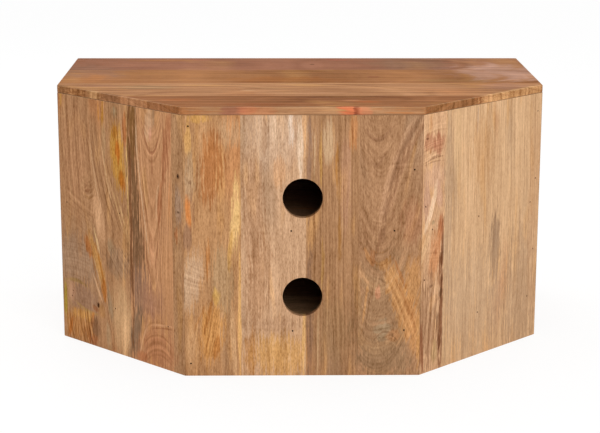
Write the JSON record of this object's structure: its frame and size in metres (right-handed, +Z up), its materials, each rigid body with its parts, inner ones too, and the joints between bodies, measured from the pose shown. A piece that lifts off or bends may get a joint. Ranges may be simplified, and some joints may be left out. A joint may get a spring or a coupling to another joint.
{
  "type": "corner television cabinet",
  "caption": "Solid wood corner television cabinet with a six-sided top, two hinged panelled doors, a shelf inside and round cable holes in its narrow back.",
  "frame": {"origin": "on the floor, under the middle of the whole object's footprint, knobs included", "axes": "+X to the right as seen from the front, +Y towards the room's corner behind the cabinet, +Z up; the doors face -Y"},
  "size_m": [1.024, 0.7024, 0.55],
  "materials": {
    "mango_wood": "satin lacquer over strongly figured solid wood",
    "brass": "antique, darkened",
    "iron": "black, waxed",
    "steel": "zinc plated",
    "plastic": "brown, moulded"
  },
  "bodies": {
    "case": {"top_board": "mango_wood", "back_panel": "mango_wood", "bottom_board": "mango_wood", "shelf": "mango_wood", "face_top_rail": "mango_wood", "face_bottom_rail": "mango_wood", "bottom_front_cleat": "mango_wood", "bottom_back_cleat": "mango_wood", "shelf_back_cleat": "mango_wood", "top_back_cleat": "mango_wood", "catch_body": "plastic", "left_side_panel": "mango_wood", "left_slant_panel": "mango_wood", "left_face_stile": "mango_wood", "left_catch_magnet": "steel", "left_lower_hinge_frame_leaf": "brass", "left_upper_hinge_frame_leaf": "brass", "left_lower_hinge_pin": "brass", "left_upper_hinge_pin": "brass", "left_bottom_side_cleat": "mango_wood", "left_bottom_slant_cleat": "mango_wood", "left_shelf_side_cleat": "mango_wood", "left_shelf_slant_cleat": "mango_wood", "left_top_side_cleat": "mango_wood", "left_top_slant_cleat": "mango_wood", "right_side_panel": "mango_wood", "right_slant_panel": "mango_wood", "right_face_stile": "mango_wood", "right_catch_magnet": "steel", "right_lower_hinge_frame_leaf": "brass", "right_upper_hinge_frame_leaf": "brass", "right_lower_hinge_pin": "brass", "right_upper_hinge_pin": "brass", "right_bottom_side_cleat": "mango_wood", "right_bottom_slant_cleat": "mango_wood", "right_shelf_side_cleat": "mango_wood", "right_shelf_slant_cleat": "mango_wood", "right_top_side_cleat": "mango_wood", "right_top_slant_cleat": "mango_wood"},
    "left_door": {"left_door_hinge_stile": "mango_wood", "left_door_meeting_stile": "mango_wood", "left_door_top_rail": "mango_wood", "left_door_bottom_rail": "mango_wood", "left_door_panel": "mango_wood", "left_knob": "iron", "left_knob_screw": "steel", "left_strike_plate": "steel", "left_lower_hinge_door_leaf": "brass", "left_upper_hinge_door_leaf": "brass"},
    "right_door": {"right_door_hinge_stile": "mango_wood", "right_door_meeting_stile": "mango_wood", "right_door_top_rail": "mango_wood", "right_door_bottom_rail": "mango_wood", "right_door_panel": "mango_wood", "right_knob": "iron", "right_knob_screw": "steel", "right_strike_plate": "steel", "right_lower_hinge_door_leaf": "brass", "right_upper_hinge_door_leaf": "brass"}
  },
  "joints": [
    {"name": "left_door_hinge", "type": "hinge", "parent": "case", "child": "left_door", "pos_m": [-0.467, -0.32735, 0.30085], "axis": [0, 0, -1], "range_deg": [0, 170]},
    {"name": "right_door_hinge", "type": "hinge", "parent": "case", "child": "right_door", "pos_m": [0.467, -0.32735, 0.30085], "axis": [0, 0, 1], "range_deg": [0, 170]}
  ]
}
